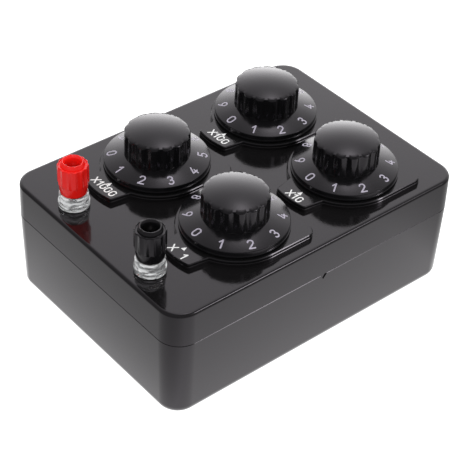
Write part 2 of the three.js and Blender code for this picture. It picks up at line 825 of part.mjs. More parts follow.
const decadeShapes = {
  knob: geometryOf(dialKnob()),
  plate: geometryOf(indexPlate()),
  spindle: geometryOf(spindleWithWheel()),
  frame: geometryOf(switchFrame()),
  nut: geometryOf(panelNutSolid()),
  spring: geometryOf(indexSpring()),
  board: geometryOf(contactBoard()),
  chain: geometryOf(resistorChain()),
  wiper: geometryOf(wiperArm()),
};
for (const { name, x, y, setTo } of decades) {
  const rotor = placed([
    piece(`dial_knob_${name}`, decadeShapes.knob, finish.knobBlack),
    piece(`spindle_${name}`, decadeShapes.spindle, finish.steel),
    piece(`wiper_${name}`, decadeShapes.wiper, finish.brass),
  ], 0, 0, 0);
  rotor.rotation.z = -setTo * stepAngle;
  resistanceBox.add(placed([
    rotor,
    piece(`index_plate_${name}`, decadeShapes.plate, finish.plateBlack),
    piece(`switch_frame_${name}`, decadeShapes.frame, finish.brass),
    piece(`panel_nut_${name}`, decadeShapes.nut, finish.nickel),
    piece(`index_spring_${name}`, decadeShapes.spring, finish.steel),
    piece(`contact_board_${name}`, decadeShapes.board, finish.phenolic),
    piece(`resistor_chain_${name}`, decadeShapes.chain, finish.resistorTan),
  ], x, y, deckHeight));
}

// The link wires run post, dial, dial, dial, dial, post, from the front and back board tags
const [x1000, x100, x10, x1] = decades;
const tagReach = board.radius - tag.inset;
const tagEnd = deckHeight + boardBottom - tag.length - seat;
const lugEnd = postY + stud.radius + seat + lug.tail - wire.radius;
function tagPoint(decade, side) {
  return new THREE.Vector3(decade.x, decade.y + side * tagReach, tagEnd);
}
function lugPoint(terminal) {
  return new THREE.Vector3(terminal.x, lugEnd, deckHeight + lugBottom - seat);
}
const links = [
  ['wire_red_post_to_x1000', lugPoint(posts[0]), tagPoint(x1000, -1), finish.wireRed],
  ['wire_x1000_to_x100', tagPoint(x1000, 1), tagPoint(x100, -1), finish.wireYellow],
  ['wire_x100_to_x10', tagPoint(x100, 1), tagPoint(x10, 1), finish.wireYellow],
  ['wire_x10_to_x1', tagPoint(x10, -1), tagPoint(x1, 1), finish.wireYellow],
  ['wire_x1_to_black_post', tagPoint(x1, -1), lugPoint(posts[1]), finish.wireBlack],
];
for (const [name, from, to, look] of links) {
  resistanceBox.add(piece(name, linkWire(from, to), look));
}

export default resistanceBox;
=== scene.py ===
"""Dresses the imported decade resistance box: case, index plates, dials, posts, stage and camera."""

import json
import math

import bmesh
import bpy
from mathutils import Matrix, Vector


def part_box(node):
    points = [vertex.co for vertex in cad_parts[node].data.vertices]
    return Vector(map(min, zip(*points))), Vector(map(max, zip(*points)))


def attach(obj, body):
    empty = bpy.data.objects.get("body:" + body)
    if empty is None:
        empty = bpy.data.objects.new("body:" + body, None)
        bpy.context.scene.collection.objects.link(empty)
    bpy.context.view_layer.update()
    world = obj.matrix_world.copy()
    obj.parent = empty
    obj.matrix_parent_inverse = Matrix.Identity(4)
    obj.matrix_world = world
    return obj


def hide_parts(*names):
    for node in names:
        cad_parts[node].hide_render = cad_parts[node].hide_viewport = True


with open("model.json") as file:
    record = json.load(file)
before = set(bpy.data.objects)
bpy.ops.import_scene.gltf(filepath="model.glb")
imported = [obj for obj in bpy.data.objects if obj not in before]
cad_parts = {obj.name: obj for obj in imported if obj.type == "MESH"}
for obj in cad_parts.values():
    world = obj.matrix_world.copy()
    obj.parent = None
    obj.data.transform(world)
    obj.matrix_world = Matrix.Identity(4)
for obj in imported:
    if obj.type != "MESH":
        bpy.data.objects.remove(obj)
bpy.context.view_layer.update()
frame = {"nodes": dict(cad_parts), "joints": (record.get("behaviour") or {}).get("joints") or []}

bl_info = {
    "name": "Decade resistance box",
    "version": (1, 0, 0),
    "blender": (4, 5, 0),
    "location": "View3D > Sidebar > Resistance box",
    "description": "Builds the visible pieces of a four-decade resistance box around its frame",
    "category": "Object",
}

# The gap between seated pieces, how far tools overrun, how near points merge, and the tub's tongue
MM = 0.001
SEAT = 0.2 * MM
OVERRUN = 0.5 * MM
MERGE = 0.0005 * MM
TONGUE = 2.4
TURN = math.tau
QUARTER = TURN / 4
STEP_ANGLE = TURN / 10

# Outlines: corners flatter than this stay, and the share of a side that an eased corner may take
FLAT_CORNER = TURN / 24
EASED_SHARE = 0.45

# The pads, in degrees: where the tab points, half its root, half its end, and half the straight back
TAB_ANGLES = (-88, 24, 15, 18.5)

# Along each tab: its characters, their places from the dial's centre, the height of their line
# and the place of the pointer's foot, all in millimetres
TABS = {
    "x1": ("X1", (-2.5, 4.15), -28.55, (0.6, -26.4)),
    "x10": ("X10", (-1.15, 1.6, 4.3), -28.6, (1.5, -26.45)),
    "x100": ("X100", (-2.35, 0.35, 2.95, 5.95), -27.4, (1.7, -25.4)),
    "x1000": ("X1000", (-4.85, -2.1, 0.5, 3.4, 6.45), -27.3, (0.7, -25.55)),
}

# The knobs: their grooves, the steps and narrowness of each, and the dome's rows. In degrees, the
# places of the first groove and of the digit 0
KNOB_FLUTES, KNOB_FLUTE_STEPS, FLUTE_NARROWING, DOME_ROWS = 15, 20, 3, 10
FIRST_FLUTE, ZERO_ANGLE = -7, -92.5

# Round a post: the cap's flutes and the steps of each, the ring's flats, the steps of the collar and of
# the thread; then the thread's rows in one turn, and how small the flange is at its two ends
CAP_FLUTES, CAP_FLUTE_STEPS, RING_FLATS = 14, 12, 8
COLLAR_STEPS, THREAD_STEPS, THREAD_ROWS = 96, 36, 6
FLANGE_SHARE = 0.95

# Smooth shading, in degrees: the sharpest edge it passes on broad shapes, fluted walls and threads
SHARP, SHARP_FLUTES, SHARP_THREAD = 35, 28, 40

# Letters, in degrees: longest step of a round part, and the bend that breaks a stroke in two
BOW_STEP, PEN_BEND = 15, 30

# Printing: longest piece of a stroke, its height over the surface and the step between two strokes
PEN_STRIP = 0.5 * MM
PRINT_LIFT = 0.03 * MM
PRINT_LAYER = 0.004 * MM

# Plastics: gloss, scale of the grain and height of the grain in millimetres
GRAINS = {
    "case": (0.09, 900, 0.006),
    "plate": (0.12, 1400, 0.008),
    "knob": (0.17, 1100, 0.006),
    "cap": (0.22, 900, 0.006),
}
# Painted light colour: the plastics' reflections are tinted a little purple for the tint of the studio
# light
PAINTED_LIGHT_TINT = (0.98, 0.91, 1, 1)

# Metals: colour, gloss and fineness of the tool lines
METALS = {
    "nickel plate": ((0.78, 0.76, 0.72), 0.2, 1500),
    "plain brass": ((0.78, 0.55, 0.24), 0.28, 1200),
    "zinc plate": ((0.55, 0.56, 0.58), 0.34, 900),
}

# The mechanism: the metals of its solids, and the wires' colours
DECADE_FINISHES = {
    "spindle_": "zinc plate",
    "index_spring_": "zinc plate",
    "switch_frame_": "plain brass",
    "wiper_": "plain brass",
    "panel_nut_": "nickel plate",
}
POST_FINISHES = {
    "post_washer_": "nickel plate",
    "post_nut_": "nickel plate",
    "post_lug_": "plain brass",
}
WIRES = {
    "yellow": ((0.62, 0.42, 0.03), ("x1000_to_x100", "x100_to_x10", "x10_to_x1")),
    "red": ((0.5, 0.02, 0.015), ("red_post_to_x1000",)),
    "black": ((0.02, 0.02, 0.02), ("x1_to_black_post",)),
}

# A resistor from lead to lead, by the share of the way where each colour begins
TIN, BODY, BROWN, GOLD = (0.55, 0.55, 0.53), (0.62, 0.45, 0.27), (0.11, 0.03, 0.012), (0.5, 0.31, 0.06)
BAND_COLOURS = (TIN, BODY, BROWN, BODY, BROWN, BODY, GOLD, BODY, TIN)
BAND_SHARES = (0, 0.17, 0.33, 0.39, 0.47, 0.53, 0.66, 0.72, 0.83)
VARNISH = (0.3, 0.2, 0.12)

# Heights of the surfaces' fine relief
WAVE_HEIGHT = 0.02 * MM
FIBRE_HEIGHT = 0.02 * MM
TURNED_HEIGHT = 0.01 * MM
INK_HEIGHT = 0.004 * MM

# The photograph's camera: angles in degrees, lengths in millimetres, focal length in pixels
CAMERA_TURN, CAMERA_RISE, CAMERA_ROLL = 48.541, 39.359, 2.885
CAMERA_TARGET = (13.108, -12.249, 37.342)
CAMERA_DISTANCE = 608.007
FOCAL_PIXELS, PICTURE_PIXELS = 1491.11, 466
CAMERA_NEAR, CAMERA_FAR = 0.01, 20
SENSOR = 36

# The stage: each lamp's place in metres and its size
LAMPS = {
    "top": ((-0.171, 0.296, 0.94), 0.54),
    "side": ((0.637, 0.515, 0.574), 0.42),
    "front": ((0.45, -0.72, 0.53), 0.5),
}

# How reflections see the room: its dim light, and its glows as direction, sharpness and strength.
# The first two are the white wall behind the box.
DIM_ROOM = 0.25
GLOWS = (
    ((-0.749, 0.662, 0), 2, 1.7),
    ((-0.749, 0.662, 0), 12, 2.8),
    ((-0.222, 0.323, 0.921), 45, 1.1),
    ((-0.222, 0.323, 0.921), 220, 1.6),
    ((0.637, 0.515, 0.574), 30, 1.0),
    ((0.637, 0.515, 0.574), 400, 12),
)

# The floor: half its width in metres, its depth below the box, how far its light reaches, and how much
# faster it fades along each axis; then the tones of the paper, the painted shade that darkens it far from
# the box, its glow and its shadow
FLOOR_HALF = 4
FLOOR_DEPTH = 0.3 * MM
FLOOR_FADE = 42 * MM
FLOOR_STRETCH = (1, 2.8, 1)
PAPER_TONES = (0.86, 0.9)
# Painted shade: the paper's tone far from the box, seen in reflections
FAR_PAINTED_SHADE = 0.12
FLOOR_GLOW = 1.6
SHADOW_SHARE = 0.2

# What the frame says: its nodes' boxes, and the axes of its dials and posts
DECADES = ("x1000", "x100", "x10", "x1")
POSTS = ("red", "black")
CORNERS = ("front_left", "front_right", "back_left", "back_right")
AXES = {joint["name"]: Vector(joint["pos_m"]) for joint in frame["joints"] if "pos_m" in joint}
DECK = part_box("post_collar_red")[0].z - SEAT
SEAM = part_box("bottom_tub")[1].z - TONGUE * MM
HALF_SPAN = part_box("top_shell")[1]

# The digit that a dial shows to its pointer, where that isn't 0
SET_TO = {"x1000": 1}


def lengths(**sizes):
    """Sizes that the user can change, from the millimetres and the description of each."""
    return {
        key: bpy.props.FloatProperty(
            name=key.replace("_", " ").capitalize(),
            description=description,
            default=millimetres * MM,
            min=0,
            unit="LENGTH",
            precision=5,
        )
        for key, (millimetres, description) in sizes.items()
    }


def colour(name, description, *value):
    """A colour that the user can change."""
    return bpy.props.FloatVectorProperty(
        name=name, description=description, default=value, min=0, max=1, size=3, subtype="COLOR"
    )


def number(name, description, value):
    """A plain number that the user can change."""
    return bpy.props.FloatProperty(name=name, description=description, default=value, min=0)


class CaseSizes(bpy.types.PropertyGroup):
    """Sizes of the case's two halves"""

    __annotations__ = lengths(
        wall=(2.2, "Thickness of the side walls"),
        deck=(2.4, "Thickness of the deck"),
        floor=(2.6, "Thickness of the tub's floor"),
        corner=(10, "Radius of the upright corners"),
        rim_round=(1.4, "Radius between walls and deck"),
        rim_draft=(0.2, "Lean of the walls up to the rim"),
        base_round=(4.5, "Radius between walls and base"),
        base_draft=(0.7, "Lean of the walls down to the base"),
        edge=(0.16, "Rounding of the edges at the seam"),
        tongue=(TONGUE, "Height of the tub's tongue"),
        tongue_wall=(0.9, "Thickness of the tongue"),
        support=(0.6, "Flat strip beside the roundings"),
        nick_width=(3.4, "Width of the V in the seam"),
        nick_depth=(2.4, "Depth of the V in the seam"),
        nick_reach=(0.4, "How far the V goes into the wall"),
        pillar_wall=(1.5, "Wall round the screw recesses"),
        shelf=(2.6, "Thickness of the screws' shelves"),
        seam_gap=(0.09, "Gap between the two halves"),
        screw_head=(1.9, "Height of the screws' heads"),
        screw_hole=(1.65, "Radius of the holes in the shelves"),
    )


class PlateSizes(bpy.types.PropertyGroup):
    """Sizes of the raised pads and of the plates on them"""

    __annotations__ = lengths(
        radius=(23.7, "Radius of a dial's pad"),
        step=(1.2, "Height of the deck's pads"),
        inset=(0.15, "Pad left free round the plate"),
        corner=(4.2, "Radius of the pad's one corner"),
        reach=(31.7, "From the dial's centre to the tab's end"),
        edge=(0.3, "Chamfer of the plate's upper edge"),
        blunt=(0.5, "Rounding of the tab's four corners"),
        hole=(5.3, "Radius of the bush's hole"),
        letter=(3.3, "Height of the letters"),
        pen=(0.6, "Width of the letters' strokes"),
        pointer=(2.1, "Height and width of the tabs' triangle"),
    )


class DialSizes(bpy.types.PropertyGroup):
    """Sizes of a dial and the knob moulded with it"""

    __annotations__ = lengths(
        lip=(0.3, "How far the skirt's foot stands out"),
        lip_height=(0.7, "Height of the skirt's foot"),
        side=(2.55, "Height of the skirt below the cone"),
        cone=(2.2, "Height of the digits' cone"),
        grip=(13.7, "Radius over the ridges at the knob's foot"),
        grip_top=(13.6, "Radius over the ridges at the knob's top"),
        grip_height=(9.75, "Height of the fluted wall"),
        flute=(0.75, "Depth of the grooves"),
        bevel=(0.4, "Rounding below the dome"),
        dome=(1.9, "Rise of the domed top"),
        wall=(1.6, "Thickness of the skirt and the cone"),
        hub=(6, "Radius of the spindle's hub"),
        bore=(3.2, "Radius of the spindle's hole"),
        roof=(3, "Plastic above the knob's cavity"),
        shell=(2.6, "Thickness of the knob's fluted wall"),
        clearance=(0.8, "Gap between hub and bush"),
        soft=(0.22, "Rounding of the sharp edges"),
        digit=(3.8, "Height of the printed digits"),
        pen=(0.62, "Width of the digits' strokes"),
        digit_reach=(18.6, "From the centre to the middle of a digit"),
    )


class PostSizes(bpy.types.PropertyGroup):
    """Sizes of a binding post"""

    __annotations__ = lengths(
        flute=(0.4, "Depth of the cap's flutes"),
        run=(0.5, "Height over which the flutes begin"),
        edge=(0.35, "Slope below the cap's top"),
        skirt=(0.5, "Thickness of the cap's foot"),
        clearance=(0.3, "Gap round the stud and the washer"),
        bottom=(5.5, "Radius at the foot of the cap"),
        waist=(5.9, "Radius where the flutes begin"),
        taper=(4.2, "Height of the cap's plain foot"),
        groove=(5.6, "Outer radius of the groove on top"),
        groove_depth=(0.5, "Depth of the groove on top"),
        ring=(4.9, "Radius of the ring's foot"),
        ring_taper=(0.6, "Lean of the ring up to its top"),
        ring_rise=(1.5, "Height of the ring above the cap's rim"),
        ring_flat=(0.2, "Depth of the ring's eight faint flats"),
        mouth=(3.95, "Radius of the mouth at the ring's top"),
        throat=(3.25, "Radius of the hole below the mouth"),
        mouth_depth=(1.1, "Depth from the mouth to the throat"),
        stud=(2.8, "Radius of the threaded stud"),
        pitch=(1, "Rise of the thread in one turn"),
        socket=(2.05, "Radius of the socket in the stud"),
        socket_floor=(2.4, "How far the socket goes below the deck"),
        thread=(0.28, "Depth of the stud's thread"),
        collar_foot=(2.6, "Height of the collar's broader foot"),
        collar_step=(0.45, "How far the collar's foot stands out"),
        collar_floor=(2.4, "Thickness of the collar's floor"),
        collar_bore=(5.05, "Radius of the hollow in the collar"),
        corner=(0.4, "Rounding of the flange's six corners"),
        soft=(0.25, "Rounding of the sharp edges"),
    )


class Finishes(bpy.types.PropertyGroup):
    """Colours of the visible pieces"""

    case: colour("Case", "Moulded black of the case", 0.0055, 0.0052, 0.0055)
    plate: colour("Plates", "Black of the index plates", 0.0045, 0.0045, 0.0047)
    knob: colour("Dials", "Black of the dials and knobs", 0.0038, 0.0038, 0.0042)
    red: colour("Red post", "Red of one post's cap", 0.86, 0.012, 0.008)
    black: colour("Black post", "Black of the other post's cap", 0.0045, 0.0045, 0.005)
    # The collars' tint also colours their painted highlights
    clear: colour("Collars", "Tint of the clear collars", 0.96, 0.97, 0.98)
    digit: colour("Digits", "Ink of the digits", 0.42, 0.39, 0.47)
    legend: colour("Legends", "Ink on the plates' tabs", 0.88, 0.88, 0.88)


class StageLights(bpy.types.PropertyGroup):
    """Strengths of the studio light"""

    world: number("Ambient", "Strength of the even light from all sides", 0.8)
    top: number("Top", "Power of the softbox above in watts", 2.2)
    side: number("Side", "Power of the softbox to the right in watts", 1.1)
    front: number("Front", "Power of the softbox in front in watts", 2.4)


GROUPS = {
    "box_case": CaseSizes,
    "box_plates": PlateSizes,
    "box_dials": DialSizes,
    "box_posts": PostSizes,
    "box_finishes": Finishes,
    "box_lights": StageLights,
}


# Shader maths: a wire is one socket of one node, and sums of wires add Math nodes
def maths_method(operation, swapped=False):
    """One of Python's operators, as a Math node."""

    def apply(self, other):
        values = (other, self) if swapped else (self, other)
        return self.recipe.maths(operation, *values)

    return apply


class Wire:
    """A node's output that can be used in plain expressions."""

    __add__ = __radd__ = maths_method("ADD")
    __mul__ = __rmul__ = maths_method("MULTIPLY")
    __sub__ = maths_method("SUBTRACT")
    __rsub__ = maths_method("SUBTRACT", swapped=True)
    __truediv__ = maths_method("DIVIDE")
    __rtruediv__ = maths_method("DIVIDE", swapped=True)

    def __init__(self, recipe, socket):
        self.recipe = recipe
        self.socket = socket

    def spread(self, low, high):
        """The wire's 0 to 1 moved to lie between two others."""
        return self * (high - low) + low

    def output(self, name):
        """Another output of the same node."""
        return Wire(self.recipe, self.socket.node.outputs[name])


class Recipe:
    """A material, or the world, written as expressions."""

    def __init__(self, owner):
        owner.use_nodes = True
        self.owner = owner
        self.tree = owner.node_tree
        self.tree.nodes.clear()

    def node(self, kind, settings=None, inputs=None, output=0):
        """One node: its settings first, then the values or wires of its sockets."""
        made = self.tree.nodes.new(kind)
        for name, value in (settings or {}).items():
            setattr(made, name, value)
        for name, value in (inputs or {}).items():
            if isinstance(value, Wire):
                self.tree.links.new(value.socket, made.inputs[name])
            else:
                made.inputs[name].default_value = value
        return Wire(self, made.outputs[output]) if len(made.outputs) else made

    def maths(self, operation, *values):
        return self.node("ShaderNodeMath", {"operation": operation}, dict(enumerate(values)))

    def vector(self, operation, *values, output=0):
        return self.node("ShaderNodeVectorMath", {"operation": operation}, dict(enumerate(values)), output)

    def mixed(self, factor, first, second):
        """A colour between two others."""
        inputs = {0: factor, 6: rgba(first), 7: rgba(second)}
        return self.node("ShaderNodeMix", {"data_type": "RGBA"}, inputs, 2)

    def ramp(self, factor, *stops, interpolation="LINEAR"):
        """A colour ramp through its stops, as pairs of place and colour."""
        made = self.node("ShaderNodeValToRGB", inputs={"Fac": factor})
        ramp = made.socket.node.color_ramp
        ramp.interpolation = interpolation
        while len(ramp.elements) < len(stops):
            ramp.elements.new(1)
        for element, (place, shade) in zip(ramp.elements, stops):
            element.position = place
            element.color = rgba(shade)
        return made

    def place(self):
        return self.node("ShaderNodeTexCoord", output="Object")

    def noise(self, scale, detail=3, stretch=(1, 1, 1)):
        where = self.vector("MULTIPLY", self.place(), stretch)
        return self.node("ShaderNodeTexNoise", inputs={"Vector": where, "Scale": scale, "Detail": detail})

    def bump(self, height, distance):
        return self.node("ShaderNodeBump", inputs={"Height": height, "Distance": distance})

    def principled(self, **sockets):
        """A Principled shader, with its sockets' names in lower case."""
        inputs = {name.replace("_", " ").title(): value for name, value in sockets.items()}
        if "Ior" in inputs:
            inputs["IOR"] = inputs.pop("Ior")
        return self.node("ShaderNodeBsdfPrincipled", inputs=inputs)

    def blended(self, factor, first, second):
        """A shader between two others."""
        return self.node("ShaderNodeMixShader", inputs={0: factor, 1: first, 2: second})

    def finished(self, shader):
        """The material or the world, ended in its shader."""
        kind = "World" if isinstance(self.owner, bpy.types.World) else "Material"
        self.node("ShaderNodeOutput" + kind, inputs={"Surface": shader})
        return self.owner

    def surface(self, colours, tint, gloss, relief, height, **sockets):
        """A material from two colours and where each shows, its gloss, and its relief's height."""
        return self.finished(
            self.principled(
                base_color=self.mixed(tint, *colours),
                roughness=gloss,
                normal=self.bump(relief, height),
                **sockets,
            )
        )

    def grained(self, grain, colours, gloss, height):
        """A material whose one grain changes its colour, its gloss and its height together."""
        return self.surface(colours, grain, grain.spread(*gloss), grain, height)


def rgba(value):
    """A wire or a colour with its fourth number."""
    return value if isinstance(value, Wire) else (*value, 1)


def grey(level):
    return (level,) * 3


def shaded(value, *factors):
    """The colour made darker or lighter by each factor."""
    return [tuple(min(channel * factor, 1) for channel in value) for factor in factors]


def moulded(recipe, base, gloss, grain, grain_height):
    """Moulded plastic: faint flow marks, fine grain and hairline rubs that change its gloss."""
    flow = recipe.noise(45, 2)
    fine = recipe.noise(grain, 3)
    rubs = recipe.noise(260, 2, (1, 9, 9))
    marks = recipe.ramp(rubs, (0.60, grey(0)), (0.72, grey(1)))
    gloss = flow.spread(gloss * 0.85, gloss * 1.15) + marks * 0.05
    relief = fine + marks * 0.2
    colours = shaded(base, 0.8, 1.25)
    # The specular tint is painted light colour, a purple cast on the reflections that stands in for the
    # light
    return recipe.surface(
        colours, flow, gloss, relief, grain_height * MM, ior=1.5, specular_tint=PAINTED_LIGHT_TINT
    )


def clear_plastic(recipe, tint):
    """Clear plastic, a little wavy, with swirls of white diffuse laid through it: painted highlights that
    stand in for the light its thick walls gather.
    """
    wave = recipe.noise(160, 2)
    clear = recipe.principled(
        base_color=recipe.mixed(wave, *shaded(tint, 1, 0.97)),
        roughness=wave.spread(0.02, 0.06),
        transmission_weight=1,
        ior=1.49,
        normal=recipe.bump(wave, WAVE_HEIGHT),
    )
    # Painted highlight: a white diffuse surface shown in swirls over the clear one
    painted_highlight = recipe.principled(base_color=rgba(tint), roughness=wave.spread(0.08, 0.2))
    painted_swirls = recipe.ramp(recipe.noise(300, 3, (0.7, 0.7, 3)), (0.46, grey(0.12)), (0.58, grey(0.85)))
    return recipe.finished(recipe.blended(painted_swirls, clear, painted_highlight))


def metal(recipe, base, gloss, lines):
    """Plated or turned metal: tool lines round the axis show as fine changes of gloss."""
    turned_lines = recipe.noise(lines, 3, (1, 1, 6))
    stain = recipe.noise(180, 3)
    gloss = turned_lines.spread(gloss * 0.7, gloss * 1.4)
    return recipe.surface(shaded(base, 0.86, 1.1), stain, gloss, turned_lines, TURNED_HEIGHT, metallic=1)


def printed_ink(recipe, base):
    """Printing ink, a little uneven in its cover."""
    cover = recipe.noise(900, 2)
    return recipe.grained(cover, shaded(base, 0.85, 1.1), (0.35, 0.5), INK_HEIGHT)


def laminate(recipe, dark, light):
    """Paper laminate with layers across its thickness and fibres over its face."""
    fibres = recipe.noise(900, 4, (1, 4, 30))
    return recipe.grained(fibres, (dark, light), (0.4, 0.62), FIBRE_HEIGHT)


def banded(recipe, centre):
    """Lacquered resistors: the colour bands go by the angle about the dial's axis."""
    place = recipe.vector("SUBTRACT", recipe.place(), centre)
    across = recipe.node("ShaderNodeSeparateXYZ", inputs={0: place})
    angle = recipe.maths("ARCTAN2", across.output("Y"), across)
    share = recipe.maths("FRACT", angle / STEP_ANGLE + 0.05)
    bands = recipe.ramp(share, *zip(BAND_SHARES, BAND_COLOURS), interpolation="CONSTANT")
    mottle = recipe.noise(700, 2)
    gloss = mottle.spread(0.35, 0.55)
    return recipe.surface((bands, VARNISH), mottle * 0.25, gloss, mottle, WAVE_HEIGHT)


def insulation(recipe, base):
    """Soft wire insulation with a faint drawn line along it."""
    drawn = recipe.noise(500, 2, (3, 1, 1))
    return recipe.grained(drawn, shaded(base, 0.8, 1.15), (0.4, 0.6), WAVE_HEIGHT)


def material(name, make, *values):
    """The material of that name, made on first use."""
    return bpy.data.materials.get(name) or make(Recipe(bpy.data.materials.new(name)), *values)


def plated(name):
    return material(name, metal, *METALS[name])


# Outlines and meshes
def arc(centre, radius, start, end, steps):
    angles = (start + (end - start) * i / steps for i in range(steps + 1))
    return [centre + radius * Vector((math.cos(a), math.sin(a))) for a in angles]


def eased(points, radius, closed=False, steps=3):
    """The points with each sharp corner replaced by a short curve."""
    made = []
    for i, point in enumerate(points):
        is_end = not closed and i in (0, len(points) - 1)
        before, after = points[i - 1] - point, points[(i + 1) % len(points)] - point
        if is_end or before.angle(-after, 0) < FLAT_CORNER:
            made.append(point)
            continue
        reach = min(radius, before.length * EASED_SHARE, after.length * EASED_SHARE)
        first, last = point + before.normalized() * reach, point + after.normalized() * reach
        for k in range(steps + 1):
            t = k / steps
            made.append(first * (1 - t) ** 2 + point * (2 * t * (1 - t)) + last * t**2)
    return made


def case_outline(sizes, inset, steps=14):
    """The case's outline drawn in by an inset."""
    radius = sizes.corner - inset
    x, y = HALF_SPAN.x - inset - radius, HALF_SPAN.y - inset - radius
    outline = []
    for k, (sx, sy) in enumerate(((1, 1), (-1, 1), (-1, -1), (1, -1))):
        outline += arc(Vector((sx * x, sy * y)), radius, k * QUARTER, (k + 1) * QUARTER, steps)
    return outline


def pad_outline(sizes, inset):
    """A disc with one corner, a straight back and a tab towards the reader, about the dial's centre."""
    radius = sizes.radius - inset
    pointer, root, end, straight = (math.radians(angle) for angle in TAB_ANGLES)
    back = sizes.radius * math.cos(straight) - inset
    corner = sizes.corner - inset
    end -= inset / sizes.reach
    middle = Vector((0, 0))
    inner = Vector((radius - corner, back - corner))
    outline = [
        *arc(middle, radius, pointer + root, 0, 20),
        *arc(inner, corner, 0, QUARTER, 8),
        *arc(middle, radius, QUARTER + math.acos(back / radius), TURN + pointer - root, 44),
        *arc(middle, sizes.reach - inset, pointer - end, pointer + end, 12),
    ]
    return eased(outline, sizes.blunt, closed=True)


def mesh_of(rings, closed=False):
    """A mesh through rings of equal count, capped unless the last ring meets the first."""
    made = bmesh.new()
    rows = [[made.verts.new(point) for point in ring] for ring in rings]
    pairs = list(zip(rows, rows[1:])) + ([(rows[-1], rows[0])] if closed else [])
    for low, high in pairs:
        for i in range(len(low)):
            j = (i + 1) % len(low)
            made.faces.new((low[i], low[j], high[j], high[i]))
    if not closed:
        made.faces.new(reversed(rows[0]))
        made.faces.new(rows[-1])
    bmesh.ops.remove_doubles(made, verts=made.verts, dist=MERGE)
    bmesh.ops.recalc_face_normals(made, faces=made.faces)
    return made


def stacked(levels, centre=Vector((0, 0))):
    """A solid through level outlines, given as pairs of outline and height."""
    return mesh_of([[(*(point + centre), z) for point in outline] for outline, z in levels])


def layered(outline, sizes, levels, centre=Vector((0, 0))):
    """A solid through one kind of outline, drawn at each level's inset and height."""
    return stacked([(outline(sizes, inset), z) for inset, z in levels], centre)


def spun(profile, centre, steps, radius_at=None, closed=False):
    """A solid turned about an upright axis. A profile point is radius, height and flute depth."""
    rings = []
    for point in profile:
        ring = []
        for i in range(steps):
            angle = TURN * i / steps
            radius = radius_at(point, angle) if radius_at else point[0]
            x, y = centre.x + radius * math.cos(angle), centre.y + radius * math.sin(angle)
            ring.append((x, y, point[1]))
        rings.append(ring)
    return mesh_of(rings, closed)


def profile_of(*points):
    """Profile points, with no flute depth where none is given."""
    return [Vector((*point, 0)) if len(point) == 2 else Vector(point) for point in points]


def fluted(count, start=0.0, softness=0.12, narrowing=1):
    """How a fluted wall's radius goes round: hollows between softened ridges, or narrower grooves."""

    def radius_at(point, angle):
        wave = abs(math.sin(count * (angle - start) / 2))
        hollow = wave * wave / (wave + softness) * (1 + softness)
        return point[0] - point[2] * hollow**narrowing

    return radius_at


def joined(*meshes):
    """Several meshes in one, without merging them."""
    whole = bmesh.new()
    for part in meshes:
        held = bpy.data.meshes.new("held")
        part.to_mesh(held)
        part.free()
        whole.from_mesh(held)
        bpy.data.meshes.remove(held)
    return whole


def placed(name, data):
    """An object in the scene for a mesh, a lamp or a camera."""
    made = bpy.data.objects.new(name, data)
    bpy.context.scene.collection.objects.link(made)
    return made


def placed_mesh(name, mesh, finish=None):
    """An object for a mesh, in its finish."""
    data = bpy.data.meshes.new(name)
    mesh.to_mesh(data)
    mesh.free()
    if finish:
        data.materials.append(finish)
    return placed(name, data)


def smoothed(made, sharp=SHARP, flat=True):
    """The object with smooth shading up to an angle, and its broad faces kept flat."""
    made.data.shade_smooth()
    made.data.set_sharp_from_angle(angle=math.radians(sharp))
    if flat:
        weights = made.modifiers.new("Flat faces", "WEIGHTED_NORMAL")
        weights.keep_sharp = True
    return made


def carved(made, *steps):
    """Joins tools to the object or cuts them from it, each given as an operation and a mesh."""
    tools = []
    for operation, mesh in steps:
        tool = placed_mesh("tool", mesh)
        tools.append(tool)
        modifier = made.modifiers.new(operation.title(), "BOOLEAN")
        modifier.operation = operation
        modifier.object = tool
        modifier.solver = "EXACT"
    depsgraph = bpy.context.evaluated_depsgraph_get()
    result = bpy.data.meshes.new_from_object(made.evaluated_get(depsgraph))
    made.modifiers.clear()
    made.data = result
    for tool in tools:
        bpy.data.objects.remove(tool)


def hand_over(made, body, slot, *nodes):
    """Makes a piece move with its body and stand for its solids."""
    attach(made, body)
    if nodes:
        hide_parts(*nodes)


def bar(radius, low, high, x, y, steps=32):
    """An upright round bar."""
    return spun(profile_of((0, low), (radius, low), (radius, high), (0, high)), Vector((x, y)), steps)


def rounding(radius, steps=8):
    """Pairs of inset and drop along a quarter round, from its side to its top."""
    angles = (QUARTER * i / steps for i in range(steps + 1))
    return [(radius * (1 - math.cos(a)), radius * (1 - math.sin(a))) for a in angles]


def bow(x, y, radius, start, end):
    """A round part of a letter, its angles in degrees."""
    steps = math.ceil(abs(end - start) / BOW_STEP)
    return arc(Vector((x, y)), radius, math.radians(start), math.radians(end), steps)


def path(*places):
    return [Vector(place) for place in places]


# Each character as pen strokes in a box one unit high about its middle
LETTER_SHARES = {
    "X": [path((-0.36, 0.5), (0.36, -0.5)), path((-0.36, -0.5), (0.36, 0.5))],
    "0": [bow(0, 0.2, 0.3, 0, 180) + bow(0, -0.2, 0.3, 180, 360) + path((0.3, 0.2))],
    "1": [path((-0.2, 0.2), (0.1, 0.5), (0.1, -0.5))],
    "2": [bow(0, 0.22, 0.28, 165, -35) + path((-0.3, -0.5), (0.32, -0.5))],
    "3": [bow(0, 0.25, 0.25, 150, -90), bow(0, -0.23, 0.27, 90, -150)],
    "4": [path((0.06, 0.5), (-0.3, -0.2), (0.34, -0.2)), path((0.14, 0.08), (0.14, -0.5))],
    "5": [path((0.26, 0.5), (-0.2, 0.5), (-0.23, 0.02)) + bow(0, -0.2, 0.3, 135, -150)],
    "6": [path((0.15, 0.5)) + bow(0, -0.21, 0.29, 150, 525)],
    "7": [path((-0.3, 0.5), (0.3, 0.5), (-0.1, -0.5))],
    "8": [bow(0, 0.26, 0.24, -90, 270), bow(0, -0.23, 0.27, 90, 450)],
    "9": [path((-0.15, -0.5)) + bow(0, 0.21, 0.29, -30, 345)],
}


